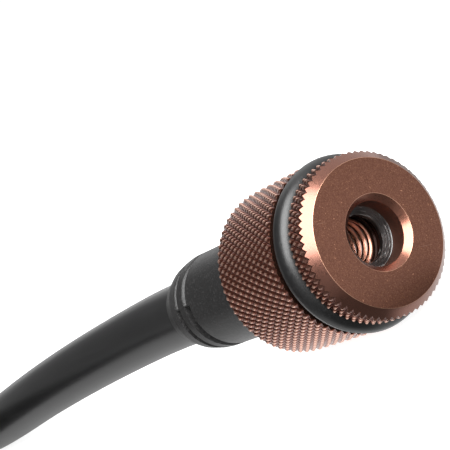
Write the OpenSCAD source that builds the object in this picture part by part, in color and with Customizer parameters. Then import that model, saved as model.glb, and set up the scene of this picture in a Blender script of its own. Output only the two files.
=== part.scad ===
// Cable shutter release, about half a metre long.
// A knurled coupling head turns on the end of a Bowden cable and screws
// onto a camera's release stud. The cable runs to a thumb plunger with a
// return spring and a lock screw. The whole thing lies on a table with its
// cable wound into one small coil.
//
// Origin: mouth of the camera thread, on the axis of the head.
// +X points out of the head's mouth, +Z is up. All sizes in millimetres.

/* [Coupling head] */
// Outside diameter of the front knurled band
band_d = 11.4; // [11:0.1:11.6]
// Outside diameter of the long rear barrel
barrel_d = 12.1; // [11.6:0.1:12.2]
// Outside diameter of the rubber grip ring
grip_ring_d = 12.2; // [12.1:0.1:12.4]
// Diameter of the flat front face inside its chamfer
face_d = 10.06; // [9.6:0.02:10.4]
// Length of the head from the front face to the back of the barrel
head_l = 11.3; // [11:0.1:11.6]
// Diameter of the smooth counterbore behind the mouth chamfer
counterbore_d = 4.38; // [4.2:0.02:4.6]
// Diameter of the mouth chamfer at the front face
mouth_d = 5.24; // [5:0.02:5.6]
// Depth of the thread's first turn behind the front face
thread_depth = 3.4; // [3.2:0.1:3.6]
// Hole of the black friction ring in front of the thread
friction_ring_hole_d = 3.4; // [3.3:0.05:3.6]

/* [Camera thread] */
// Minor diameter of the female thread, M4 x 0.7
thread_minor_d = 3.24; // [3.2:0.01:3.3]
// Length of the thread
thread_l = 4; // [3.6:0.1:4]

/* [Cable] */
// Outside diameter of the cable
cable_d = 5.2; // [5:0.1:5.2]
// Radius of the outer turns of the coil, to the middle of the cable
coil_r = 28.6; // [28.4:0.1:28.8]
// Thickness of the strap that ties the coil
tie_t = 0.5; // [0.5:0.1:0.6]
// Width of the strap that ties the coil
tie_w = 7; // [5:0.5:9]

/* [Strain relief] */
// Outside diameter of the moulded sleeve behind the head
boot_d = 7.5; // [7.3:0.1:7.7]
// Distance from the barrel to the back end of the sleeve
boot_l = 14.7; // [14.5:0.1:14.9]

/* [Thumb grip] */
// Outside diameter of the grip's tube
grip_d = 15.2; // [15.2:0.1:15.3]
// Span of the two finger rests, tip to tip
wing_span = 29; // [27:0.5:30]
// Thickness of the finger plate
wing_t = 3; // [2.6:0.1:3]
// Diameter of the thumb button
button_d = 12.4; // [11:0.2:13]
// Travel of the plunger and of the release pin
travel = 6.5; // [5:0.5:6.5]
// Wire diameter of the return spring
spring_wire_d = 0.5; // [0.4:0.05:0.6]

/* [Hidden] */

// Circles that must stay round use this many sides.
round_n = 96;

// Stations along the head's axis, measured from the thread's mouth.
x_face = thread_depth;
x_band = x_face - 2.04;          // back of the front band
x_barrel = x_face - 3.96;        // front of the barrel
x_back = x_face - head_l;        // back of the barrel
x_lip = x_back + 1.3;            // inside of the barrel's back wall
x_spigot = -4.1;                 // back end of the collar's spigot
x_flange = -4.75;                // front of the swivel flange
x_boot = x_back - 0.15;          // front of the strain relief
x_tube = -16.6;                  // where the cable butts on the ferrule
x_exit = x_back - boot_l;        // back end of the strain relief

// The surface that everything lies on.
table_z = -grip_ring_d / 2;
cable_r = cable_d / 2;
// Height of the lower turns and of the turn lying on them.
low_z = table_z + tie_t + cable_r;
top_z = low_z + cable_d * 0.8654;
coil_in = coil_r - cable_d;
coil_mid = coil_r - cable_d / 2;
coil_x = -98;
coil_y = -29.6;

// The grip's axis: the last turn of the coil runs straight into it.
grip_x = coil_x + 22;
grip_y = coil_y - coil_mid;
grip_z = table_z + grip_d / 2;

// Middle of the cable from the head to the coil.
lead_route = [
  [-16.6, 0, 0], [-22.6, 0, 0], [-29, -0.1, 0], [-37, -0.4, -0.2],
  [-47, -0.8, -0.6], [-57, -1.1, -1.3], [-67, -1.1, -2.2],
  [-74, -1, -2.8], [-80, -1, -3], [-88, -1, -3], [-96, -1, -3]
];
// Middle of the cable from the coil to the grip.
tail_route = [
  [-98, -55.6, 1.5], [-92, -55.6, 1.5], [-86, -55.6, 1.5],
  [-80, -55.6, 1.5], [-70, -55.6, 1.5]
];

function unit(v) = v / norm(v);
function heading(p, i) =
  unit(p[min(i + 1, len(p) - 1)] - p[max(i - 1, 0)]);

// A round tube along a route that never runs straight up.
module swept(route, r, sides) {
  n = len(route);
  pts = [
    for (i = [0 : n - 1])
      let (t = heading(route, i), a = unit(cross(t, [0, 0, 1])), b = cross(a, t))
        for (k = [0 : sides - 1])
          route[i] + r * (cos(360 * k / sides) * a + sin(360 * k / sides) * b)
  ];
  sides_f = [
    for (i = [0 : n - 2], k = [0 : sides - 1])
      let (k2 = (k + 1) % sides)
        [i * sides + k, i * sides + k2, (i + 1) * sides + k2, (i + 1) * sides + k]
  ];
  tris = [for (f = sides_f) each [[f[0], f[1], f[2]], [f[0], f[2], f[3]]]];
  front = [for (k = [1 : sides - 2]) [0, k + 1, k]];
  back = [for (k = [1 : sides - 2]) let (o = (n - 1) * sides) [o, o + k, o + k + 1]];
  polyhedron(points = pts, faces = concat(tris, front, back), convexity = 4);
}

// A turned part: points are [radius, x] and the axis is X.
module turned(pts) rotate([0, 90, 0]) rotate_extrude($fn = round_n) polygon(pts);

// A ring of rectangular section about X.
module ring(x0, x1, r_out, r_in) turned([[r_in, x0], [r_out, x0], [r_out, x1], [r_in, x1]]);

// The same about the grip's axis, with s measured from the grip's tail.
module on_grip() translate([grip_x, grip_y, grip_z]) children();

module front_collar() color("#73503f") turned([
  [counterbore_d / 2, 0], [counterbore_d / 2, x_face - (mouth_d - counterbore_d) / 2],
  [mouth_d / 2, x_face], [face_d / 2, x_face],
  [band_d / 2, x_face - (band_d - face_d) / 2],
  [band_d / 2, x_band + 0.1], [band_d / 2 - 0.1, x_band],
  [4.35, x_band], [4.35, x_barrel], [3.9, x_barrel], [3.9, x_spigot],
  [2.62, x_spigot], [2.62, 0]
]);

module grip_ring() color("#151515")
  translate([(x_band + x_barrel) / 2, 0, 0]) rotate([0, 90, 0])
    rotate_extrude($fn = round_n) translate([grip_ring_d / 2 - 0.87, 0]) circle(r = 0.87, $fn = 32);

module rear_barrel() color("#6b4536") turned([
  [3.92, x_barrel], [barrel_d / 2 - 0.15, x_barrel], [barrel_d / 2, x_barrel - 0.15],
  [barrel_d / 2, x_back + 0.15], [barrel_d / 2 - 0.15, x_back],
  [3, x_back], [3, x_lip], [3.92, x_lip]
]);

module friction_ring() color("#1c1c1c") turned([
  [counterbore_d / 2 - 0.01, x_face - 1.6], [friction_ring_hole_d / 2, x_face - 1.8],
  [friction_ring_hole_d / 2, x_face - 2.5], [counterbore_d / 2 - 0.01, x_face - 2.5]
]);

module thread_insert() color("#8a553c") ring(-thread_l, 0, 2.6, thread_minor_d / 2);

module front_washer() color("#b08a4a") ring(x_flange + 0.1, x_spigot - 0.05, 3.85, 1.9);

module rear_washer() color("#d8d4c8") ring(x_lip + 0.1, x_flange - 1.2, 3.85, 3);

module swivel_ferrule() color("#a9a9a9") turned([
  [1.25, x_flange], [3.8, x_flange], [3.8, x_flange - 1.1], [2.9, x_flange - 1.1],
  [2.9, -8.6], [2.5, -8.6], [2.5, x_tube + 0.1], [1.25, x_tube + 0.1]
]);

module pin_guide() color("#b5924c") ring(-6.6, x_flange + 0.35, 1.24, 0.83);

module release_pin() color("#c9c9c9") turned([
  [0, -4.3], [0.5, -4.3], [0.8, -4.6], [0.8, -13.4], [1.17, -13.4], [1.17, -14.6], [0, -14.6]
]);

module core_wire_head() color("#8f8f8f")
  translate([x_tube + 0.2, 0, 0]) rotate([0, 90, 0]) cylinder(r = 0.45, h = -14.6 - x_tube - 0.2, $fn = 24);

// One of the moulded slots round the strain relief.
module boot_slot(x, w, depth, r, from, sweep) translate([x, 0, 0]) rotate([0, 90, 0])
  rotate([0, 0, from]) rotate_extrude(angle = sweep, $fn = round_n)
    translate([r - depth, -w / 2]) square([depth + 0.4, w]);

module head_boot() color("#232323") difference() {
  turned([
    [2.96, x_boot], [boot_d / 2, x_boot], [boot_d / 2, -17.8],
    [boot_d / 2 + 0.05, -18.6], [boot_d / 2 - 0.02, -19.3], [boot_d / 2 - 0.2, -20.2],
    [boot_d / 2 - 0.55, -21.1], [boot_d / 2 - 0.86, -22], [2.86, x_exit],
    [2.66, x_exit], [2.66, x_tube], [2.55, x_tube], [2.55, -8.7], [2.96, -8.7]
  ]);
  for (row = [[-17.15, 0], [-18.65, 90]], half = [0, 180])
    boot_slot(row[0], 0.55, 0.6, boot_d / 2, row[1] + half + 12, 156);
}

module cable_lead() color("#2b2b2b") swept(lead_route, cable_r, 12);

module cable_tail() color("#2b2b2b") swept(tail_route, cable_r, 12);

// Outer shape of the bundle: two turns side by side and one on top.
module cable_coil() color("#262626") translate([coil_x, coil_y, 0])
  rotate_extrude($fn = round_n) polygon([
    [coil_in - 1.2, low_z - cable_r], [coil_r + 1.2, low_z - cable_r],
    [coil_r + 2.3, low_z - 1.3], [coil_r + cable_r, low_z],
    [coil_r + 2.3, low_z + 1.3], [coil_mid + 2.3, top_z + 1.3],
    [coil_mid + 1.3, top_z + cable_r - 0.35], [coil_mid, top_z + cable_r],
    [coil_mid - 1.3, top_z + cable_r - 0.35], [coil_mid - 2.3, top_z + 1.3],
    [coil_in - 2.3, low_z + 1.3], [coil_in - cable_r, low_z], [coil_in - 2.3, low_z - 1.3]
  ]);

// A strap round the bundle, on the side of the coil away from the head.
module coil_tie() color("#1a1a1a") translate([coil_x - coil_mid, coil_y + tie_w / 2, 0])
  rotate([90, 0, 0]) linear_extrude(tie_w) difference() {
    polygon([
      [-4.6, low_z - cable_r - tie_t], [4.6, low_z - cable_r - tie_t],
      [5.8, low_z - 1.4], [5.9, low_z + 0.4], [5.2, low_z + 2.2],
      [2.9, top_z + 2], [1.6, top_z + cable_r + 0.4], [-1.6, top_z + cable_r + 0.4],
      [-2.9, top_z + 2], [-5.2, low_z + 2.2], [-5.9, low_z + 0.4], [-5.8, low_z - 1.4]
    ]);
    polygon([
      [-4.2, low_z - cable_r], [4.2, low_z - cable_r],
      [5.3, low_z - 1.3], [5.35, low_z + 0.3], [4.7, low_z + 2],
      [2.45, top_z + 1.75], [1.35, top_z + cable_r + 0.02], [-1.35, top_z + cable_r + 0.02],
      [-2.45, top_z + 1.75], [-4.7, low_z + 2], [-5.35, low_z + 0.3], [-5.3, low_z - 1.3]
    ]);
  }

module grip_boot() color("#232323") on_grip() difference() {
  turned([
    [2.66, 0], [2.86, 0], [3.15, 1.2], [3.6, 5], [3.9, 10], [3.9, 13.4],
    [4.7, 13.4], [4.7, 15], [2.66, 15]
  ]);
  for (row = [[3.4, 0], [5.2, 90]], half = [0, 180])
    boot_slot(row[0], 0.6, 0.5, row[0] > 4 ? 3.62 : 3.4, row[1] + half + 12, 156);
}

module tail_ferrule() color("#b5924c") on_grip() turned([
  [0.75, 6.2], [2.6, 6.2], [2.6, 15.1], [4.9, 15.1], [4.9, 16.6], [0.75, 16.6]
]);

module tail_cap() color("#73503f") on_grip() turned([
  [4.05, 12], [5.7, 12], [6.1, 12.5], [6.1, 22], [5.06, 22], [5.06, 13.3], [4.05, 13.3]
]);

module grip_body() color("#202020") on_grip() turned([
  [0.75, 16.7], [5, 16.7], [5, 22.05], [7, 22.05], [grip_d / 2, 22.7],
  [grip_d / 2, 49.5], [grip_d / 2 - 0.5, 50], [5.6, 50], [5.6, 55.3],
  [4.6, 55.3], [4.6, 23.8], [0.75, 23.8]
]);

module finger_plate() color("#73503f") on_grip()
  translate([50.02, 0, 0]) rotate([90, 0, 90]) linear_extrude(wing_t) difference() {
    union() {
      circle(d = grip_d - 0.2, $fn = round_n);
      square([wing_span - 10, 9], center = true);
      for (s = [-1, 1]) translate([s * (wing_span / 2 - 5), 0]) circle(r = 5, $fn = 64);
    }
    circle(r = 5.63, $fn = round_n);
  }

module top_nut() color("#73503f") on_grip() difference() {
  turned([
    [5.63, 50.04 + wing_t], [6.8, 50.04 + wing_t], [7.1, 53.4], [7.1, 60.4], [6.5, 61],
    [3.05, 61], [3.05, 55.4], [5.63, 55.4]
  ]);
  translate([58.2, 0, 0]) cylinder(r = 1.3, h = 9, $fn = 32);
}

module plunger_bush() color("#b5924c") on_grip() difference() {
  turned([[2.08, 54.3], [4.2, 54.3], [4.2, 55.35], [3.03, 55.35], [3.03, 61], [2.08, 61]]);
  translate([58.2, 0, 0]) cylinder(r = 1.3, h = 5, $fn = 32);
}

module plunger_rod() color("#c9c9c9") on_grip() difference() {
  turned([
    [0.47, 31], [2, 31], [2, 52.6], [4.4, 52.6], [4.4, 54.1], [2, 54.1], [2, 69.9],
    [0, 69.9], [0, 36], [0.47, 36]
  ]);
  translate([33.5, 0, -2.2]) cylinder(r = 0.82, h = 1.75, $fn = 24);
}

module thumb_button() color("#202020") on_grip() turned([
  [0, 70], [2.03, 70], [2.03, 68], [4.2, 68], [button_d / 2 - 0.4, 69.4],
  [button_d / 2, 70.2], [button_d / 2, 71.6], [button_d / 2 - 0.6, 72.4],
  [4.2, 72.2], [2, 71.9], [0, 71.8]
]);

// Compression spring: open coils with a plain ring at each end.
spring_r = 3.5;
spring_from = 23.9;
spring_to = 52.5;
spring_turns = 9;
module return_spring() color("#b9b9b9") on_grip() {
  steps = 12;
  a = spring_from + spring_wire_d / 2;
  b = spring_to - spring_wire_d / 2;
  n = spring_turns * steps;
  c = spring_wire_d / 2;
  pts = [
    for (i = [0 : n]) let (t = 360 * i / steps, x = a + (b - a) * i / n)
      for (k = [0 : 5]) let (q = 60 * k, rr = spring_r + c * cos(q))
        [x + c * sin(q), rr * cos(t), rr * sin(t)]
  ];
  fs = [
    for (i = [0 : n - 1], k = [0 : 5]) let (k2 = (k + 1) % 6)
      each [[i * 6 + k, i * 6 + k2, (i + 1) * 6 + k2], [i * 6 + k, (i + 1) * 6 + k2, (i + 1) * 6 + k]]
  ];
  caps = concat([for (k = [1 : 4]) [0, k + 1, k]], [for (k = [1 : 4]) [n * 6, n * 6 + k, n * 6 + k + 1]]);
  polyhedron(points = pts, faces = concat(fs, caps), convexity = 10);
}

module core_wire_grip() color("#8f8f8f") on_grip()
  translate([16.9, 0, 0]) rotate([0, 90, 0]) cylinder(r = 0.45, h = 19, $fn = 24);

module wire_screw() color("#707070") on_grip()
  translate([33.5, 0, -1.98]) cylinder(r = 0.8, h = 1.5, $fn = 24);

// Knurled screw in the side of the top nut; it turns about Z.
module lock_screw() color("#73503f") on_grip() translate([58.2, 0, 0]) {
  translate([0, 0, 3.5]) cylinder(r = 1.22, h = 4.5, $fn = 32);
  translate([0, 0, 7.7]) cylinder(r = 3, h = 3.6, $fn = 64);
}

module lock_pad() color("#c8b070") on_grip() translate([58.2, 0, 2.3]) cylinder(r = 1.2, h = 1, $fn = 32);

front_collar();
grip_ring();
rear_barrel();
friction_ring();
thread_insert();
front_washer();
rear_washer();
swivel_ferrule();
pin_guide();
release_pin();
core_wire_head();
head_boot();
cable_lead();
cable_coil();
coil_tie();
cable_tail();
grip_boot();
tail_ferrule();
tail_cap();
grip_body();
finger_plate();
top_nut();
plunger_bush();
plunger_rod();
thumb_button();
return_spring();
core_wire_grip();
wire_screw();
lock_screw();
lock_pad();
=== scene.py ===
"""Looks of the cable shutter release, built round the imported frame.

Helpers work in millimetres and scale to metres when a mesh is made.
"""

import math

import bmesh
import bpy
import numpy as np
from mathutils import Matrix, Vector

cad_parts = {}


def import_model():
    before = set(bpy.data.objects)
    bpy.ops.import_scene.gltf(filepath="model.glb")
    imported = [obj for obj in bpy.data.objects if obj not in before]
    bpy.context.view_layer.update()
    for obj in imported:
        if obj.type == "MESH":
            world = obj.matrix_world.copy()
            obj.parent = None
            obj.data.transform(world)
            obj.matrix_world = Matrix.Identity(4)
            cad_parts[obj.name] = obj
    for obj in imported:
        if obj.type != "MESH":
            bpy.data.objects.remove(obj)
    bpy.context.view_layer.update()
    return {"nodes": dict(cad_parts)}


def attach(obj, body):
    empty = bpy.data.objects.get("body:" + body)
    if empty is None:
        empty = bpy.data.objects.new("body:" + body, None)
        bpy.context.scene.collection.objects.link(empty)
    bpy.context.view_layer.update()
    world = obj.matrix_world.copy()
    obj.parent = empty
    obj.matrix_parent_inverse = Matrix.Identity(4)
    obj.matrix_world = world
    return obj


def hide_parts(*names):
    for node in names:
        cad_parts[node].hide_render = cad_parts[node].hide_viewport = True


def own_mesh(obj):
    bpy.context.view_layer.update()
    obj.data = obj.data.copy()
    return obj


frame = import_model()

MM = 0.001
TABLE_Z = -6.1
GRIP = Vector((-76.0, -55.6, 1.5))
BODY = "cable_and_grip"
HEAD = "coupling_head"
PLUNGER = "plunger"


# ---------------------------------------------------------------- camera

cam_data = bpy.data.cameras.new("camera")
cam_data.lens = 120.0
cam_data.sensor_width = 36.0
cam_data.clip_start = 0.002
cam_data.clip_end = 20.0
cam = bpy.data.objects.new("camera", cam_data)
bpy.context.scene.collection.objects.link(cam)
right = Vector((0.4651, 0.5044, -0.7275)).normalized()
back = Vector((0.8532, -0.4746, 0.2164)).normalized()
up = back.cross(right).normalized()
right = up.cross(back).normalized()
cam.matrix_world = Matrix(
    (
        (right.x, up.x, back.x, 0.08163),
        (right.y, up.y, back.y, -0.05076),
        (right.z, up.z, back.z, 0.02856),
        (0, 0, 0, 1),
    )
)
bpy.context.scene.camera = cam


# ---------------------------------------------------------------- mesh helpers


def mesh_of(name, verts, faces):
    me = bpy.data.meshes.new(name)
    me.from_pydata(
        [tuple(float(c) for c in v) for v in verts],
        [],
        [tuple(int(i) for i in f) for f in faces],
    )
    bm = bmesh.new()
    bm.from_mesh(me)
    bmesh.ops.recalc_face_normals(bm, faces=bm.faces)
    bm.to_mesh(me)
    bm.free()
    return me


def piece(name, me, place=None, smooth=35.0):
    """An object in metres from a mesh in millimetres. place moves it first, in millimetres."""
    if place is not None:
        me.transform(place)
    me.transform(Matrix.Scale(MM, 4))
    me.shade_smooth()
    if smooth is not None:
        me.set_sharp_from_angle(angle=math.radians(smooth))
    me.update()
    me.name = name
    o = bpy.data.objects.new(name, me)
    bpy.context.scene.collection.objects.link(o)
    return o


def crease(me, limits, default):
    """Sharp edges by angle, with its own limit inside each material index in limits."""
    bm = bmesh.new()
    bm.from_mesh(me)
    for e in bm.edges:
        if len(e.link_faces) != 2:
            e.smooth = False
            continue
        i, j = (f.material_index for f in e.link_faces)
        limit = limits.get(i, default) if i == j else default
        e.smooth = e.calc_face_angle(0) <= math.radians(limit)
    bm.to_mesh(me)
    bm.free()


def finish_piece(o, body, slot, *nodes):
    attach(o, body)
    if nodes:
        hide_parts(*nodes)
    return o


def boolean(me, other, operation):
    """me operation other, both meshes in millimetres."""
    a = bpy.data.objects.new("work_a", me)
    b = bpy.data.objects.new("work_b", other)
    for o in (a, b):
        bpy.context.scene.collection.objects.link(o)
    m = a.modifiers.new("cut", "BOOLEAN")
    m.operation = operation
    m.object = b
    try:
        m.solver = "MANIFOLD"
    except TypeError:
        m.solver = "EXACT"
    dg = bpy.context.evaluated_depsgraph_get()
    out = bpy.data.meshes.new_from_object(a.evaluated_get(dg))
    for o in (a, b):
        bpy.data.objects.remove(o)
    bm = bmesh.new()
    bm.from_mesh(out)
    bmesh.ops.remove_doubles(bm, verts=bm.verts, dist=0.0004)
    bmesh.ops.dissolve_degenerate(bm, edges=bm.edges, dist=0.0004)
    bm.to_mesh(out)
    bm.free()
    out.materials.clear()
    return out


def rounded(points, closed=True, seg=4):
    """Corners given as (a, b, radius) become arcs."""
    out, n = [], len(points)
    for i, p in enumerate(points):
        r = p[2] if len(p) > 2 else 0
        here = np.array(p[:2], float)
        if r <= 0 or (not closed and i in (0, n - 1)):
            out.append(here)
            continue
        a = np.array(points[i - 1][:2], float) - here
        b = np.array(points[(i + 1) % n][:2], float) - here
        la, lb = np.linalg.norm(a), np.linalg.norm(b)
        a, b = a / la, b / lb
        half = math.acos(float(np.clip(a @ b, -1, 1))) / 2
        t = min(r / math.tan(half), la * 0.48, lb * 0.48)
        r = t * math.tan(half)
        c = here + (a + b) / np.linalg.norm(a + b) * r / math.sin(half)
        p0, p1 = here + a * t - c, here + b * t - c
        a0, a1 = math.atan2(p0[1], p0[0]), math.atan2(p1[1], p1[0])
        d = (a1 - a0 + math.pi) % (2 * math.pi) - math.pi
        for k in range(seg + 1):
            q = a0 + d * k / seg
            out.append(c + r * np.array([math.cos(q), math.sin(q)]))
    return out


def turned(profile, n=144, closed=True, name="turned"):
    """Points (radius, x) turned about X. Radius 0 makes a pole."""
    verts, rings = [], []
    for r, x in profile:
        if r < 1e-6:
            rings.append([len(verts)])
            verts.append((x, 0, 0))
        else:
            rings.append(list(range(len(verts), len(verts) + n)))
            for k in range(n):
                a = 2 * math.pi * k / n
                verts.append((x, r * math.cos(a), r * math.sin(a)))
    faces = []
    m = len(rings)
    for i in range(m if closed else m - 1):
        p, q = rings[i], rings[(i + 1) % m]
        if len(p) == 1 and len(q) == 1:
            continue
        for k in range(n):
            k2 = (k + 1) % n
            if len(p) == 1:
                faces.append((p[0], q[k2], q[k]))
            elif len(q) == 1:
                faces.append((p[k], p[k2], q[0]))
            else:
                faces.append((p[k], p[k2], q[k2], q[k]))
    return mesh_of(name, verts, faces)


def knurl_bar(r_tip, depth, starts, per_mm, x_lo, x_hi, flat, plain_lo=None, r_plain=None, phase=0.0, plain_hi=None):
    """A solid bar about X with a diamond knurl from x_lo to x_hi: crossing V grooves leave pyramids with small flat tops.
    starts grooves run each way round, and per_mm is how many a line along the axis crosses in 1 mm."""
    step = 1 / (2 * per_mm)
    n_lo, n_hi = math.floor(x_lo / step), math.ceil(x_hi / step)
    r_low = r_tip - depth
    verts, cross, tips = [], {}, {}
    count = 2 * starts

    def put(n, k, r):
        a = math.pi * (k + phase) / starts
        verts.append((n * step, r * math.cos(a), r * math.sin(a)))
        return len(verts) - 1

    for n in range(n_lo, n_hi + 1):
        for k in range(count):
            if (n + k) % 2 == 0:
                cross[n, k] = put(n, k, r_low)
            elif n in (n_lo, n_hi):
                tips[n, k] = put(n, k, r_tip)
            else:
                tips[n, k] = [
                    put(n, k + flat, r_tip),
                    put(n + flat, k, r_tip),
                    put(n, k - flat, r_tip),
                    put(n - flat, k, r_tip),
                ]
    faces = []
    for (n, k), tip in tips.items():
        around = [
            cross.get((n, (k + 1) % count)),
            cross.get((n + 1, k)),
            cross.get((n, (k - 1) % count)),
            cross.get((n - 1, k)),
        ]
        if isinstance(tip, list):
            faces.append(tuple(tip))
            for i in range(4):
                j = (i + 1) % 4
                faces.append((tip[i], tip[j], around[j], around[i]))
        else:
            for i in range(4):
                j = (i + 1) % 4
                if around[i] is not None and around[j] is not None:
                    faces.append((tip, around[j], around[i]))
    for end, n in (("lo", n_lo), ("hi", n_hi)):
        ring = [cross.get((n, k), tips.get((n, k))) for k in range(count)]
        x = n * step
        plain = plain_lo if end == "lo" else plain_hi
        if plain is not None:
            for xx in (x, plain):
                nxt = []
                for k in range(count):
                    a = math.pi * (k + phase) / starts
                    verts.append((xx, r_plain * math.cos(a), r_plain * math.sin(a)))
                    nxt.append(len(verts) - 1)
                for k in range(count):
                    k2 = (k + 1) % count
                    faces.append((ring[k], ring[k2], nxt[k2], nxt[k]))
                ring, x = nxt, xx
        verts.append((x, 0, 0))
        c = len(verts) - 1
        for k in range(count):
            faces.append((ring[k], ring[(k + 1) % count], c))
    return mesh_of("knurl", verts, faces)


def along(points, closed=False):
    """Unit tangents of a line of points."""
    p = np.asarray(points, float)
    t = np.empty_like(p)
    t[1:-1] = p[2:] - p[:-2]
    t[0], t[-1] = (p[1] - p[-1], p[0] - p[-2]) if closed else (p[1] - p[0], p[-1] - p[-2])
    return t / np.linalg.norm(t, axis=1)[:, None]


def smoothstep(a, b, x):
    t = np.clip((np.asarray(x, float) - a) / (b - a), 0, 1)
    return t * t * (3 - 2 * t)


def skin(profile, dents, columns=240, name="skin"):
    """A closed turned piece whose outer skin may be dented. profile is a list of (r, x) outside, then inside, as one loop;
    dents is a function of (r, x, angle) arrays that gives how far in each outer point goes."""
    prof = np.array([p[:2] for p in profile], float)
    ang = 2 * math.pi * np.arange(columns) / columns
    r = np.repeat(prof[:, :1], columns, 1)
    x = np.repeat(prof[:, 1:2], columns, 1)
    a = np.repeat(ang[None], len(prof), 0)
    r = r - dents(r, x, a)
    v = np.stack([x, r * np.cos(a), r * np.sin(a)], -1).reshape(-1, 3)
    faces = []
    m = len(prof)
    for i in range(m):
        for k in range(columns):
            k2, i2 = (k + 1) % columns, (i + 1) % m
            faces.append((i * columns + k, i * columns + k2, i2 * columns + k2, i2 * columns + k))
    return mesh_of(name, v, faces)


# ---------------------------------------------------------------- material helpers


class Look:
    """A small builder for one Principled material."""

    def __init__(self, name, base, metallic=0.0, roughness=0.5, **sockets):
        self.mat = bpy.data.materials.new(name)
        self.mat.use_nodes = True
        self.tree = self.mat.node_tree
        self.tree.nodes.clear()
        self.out = self.add("ShaderNodeOutputMaterial")
        self.bsdf = self.add("ShaderNodeBsdfPrincipled")
        self.tree.links.new(self.bsdf.outputs[0], self.out.inputs["Surface"])
        self.base = base
        self.bsdf.inputs["Base Color"].default_value = (*base, 1)
        self.bsdf.inputs["Metallic"].default_value = metallic
        self.bsdf.inputs["Roughness"].default_value = roughness
        for k, v in sockets.items():
            self.bsdf.inputs[k.replace("_", " ")].default_value = v
        self.mat.diffuse_color = (*base, 1)
        self.coord = self.add("ShaderNodeTexCoord").outputs["Object"]
        self.height = None

    def add(self, kind, **props):
        n = self.tree.nodes.new(kind)
        for k, v in props.items():
            setattr(n, k, v)
        return n

    def link(self, a, b):
        self.tree.links.new(a, b)

    def math(self, op, a, b=None, clamp=False):
        n = self.add("ShaderNodeMath", operation=op, use_clamp=clamp)
        for i, v in enumerate((a, b)):
            if v is None:
                continue
            if isinstance(v, (int, float)):
                n.inputs[i].default_value = v
            else:
                self.link(v, n.inputs[i])
        return n.outputs[0]

    def span(self, x, a, b, c=0.0, d=1.0, smooth=True):
        n = self.add("ShaderNodeMapRange", interpolation_type="SMOOTHSTEP" if smooth else "LINEAR")
        self.link(x, n.inputs["Value"])
        for k, v in (("From Min", a), ("From Max", b), ("To Min", c), ("To Max", d)):
            n.inputs[k].default_value = v
        return n.outputs["Result"]

    def scaled(self, vector, scale):
        n = self.add("ShaderNodeVectorMath", operation="MULTIPLY")
        self.link(vector, n.inputs[0])
        n.inputs[1].default_value = scale
        return n.outputs[0]

    def noise(self, vector, scale, detail=2.0, rough=0.5, distort=0.0):
        n = self.add("ShaderNodeTexNoise")
        self.link(vector, n.inputs["Vector"])
        n.inputs["Scale"].default_value = scale
        n.inputs["Detail"].default_value = detail
        n.inputs["Roughness"].default_value = rough
        n.inputs["Distortion"].default_value = distort
        return n.outputs[0]

    def polar(self, centre=(0, 0, 0), axis="X"):
        """(radius, angle, along the axis) of a point, in metres and radians."""
        shift = self.add("ShaderNodeVectorMath", operation="SUBTRACT")
        self.link(self.coord, shift.inputs[0])
        shift.inputs[1].default_value = centre
        sep = self.add("ShaderNodeSeparateXYZ")
        self.link(shift.outputs[0], sep.inputs[0])
        x, y, z = sep.outputs
        a, b, c = (y, z, x) if axis == "X" else (x, y, z)
        r = self.math("SQRT", self.math("ADD", self.math("MULTIPLY", a, a), self.math("MULTIPLY", b, b)))
        return r, self.math("ARCTAN2", b, a), c

    def join(self, x, y, z):
        n = self.add("ShaderNodeCombineXYZ")
        for i, v in enumerate((x, y, z)):
            if isinstance(v, (int, float)):
                n.inputs[i].default_value = v
            else:
                self.link(v, n.inputs[i])
        return n.outputs[0]

    def tint(self, factor, colour, before=None):
        """Mixes colour in by factor, over what the base colour is now."""
        n = self.add("ShaderNodeMix", data_type="RGBA")
        self.link(factor, n.inputs["Factor"])
        now = self.bsdf.inputs["Base Color"]
        if now.is_linked:
            self.link(now.links[0].from_socket, n.inputs["A"])
        else:
            n.inputs["A"].default_value = now.default_value
        n.inputs["B"].default_value = (*colour, 1)
        self.link(n.outputs["Result"], now)
        return self

    def vary(self, factor, low, high):
        """Roughness from low to high by factor."""
        self.link(self.span(factor, 0, 1, low, high, smooth=False), self.bsdf.inputs["Roughness"])
        return self

    def bump(self, height, strength, distance):
        n = self.add("ShaderNodeBump")
        n.inputs["Strength"].default_value = strength
        n.inputs["Distance"].default_value = distance
        self.link(height, n.inputs["Height"])
        now = self.bsdf.inputs["Normal"]
        if now.is_linked:
            self.link(now.links[0].from_socket, n.inputs["Normal"])
        self.link(n.outputs["Normal"], now)
        return self


BRONZE = (0.160, 0.066, 0.043)
# the knurls' bronze: the same anodise as BRONZE, painted lighter to stand in for light
BRONZE_KNURL_PAINTED_LIGHT = (0.43, 0.150, 0.094)
# knurl points: partly worn anodise, partly a painted highlight
BRONZE_TIP_WEAR_AND_HIGHLIGHT = (0.92, 0.55, 0.43)
BRONZE_LIGHT = (0.36, 0.175, 0.12)
BRONZE_DARK = (0.075, 0.031, 0.021)


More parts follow.
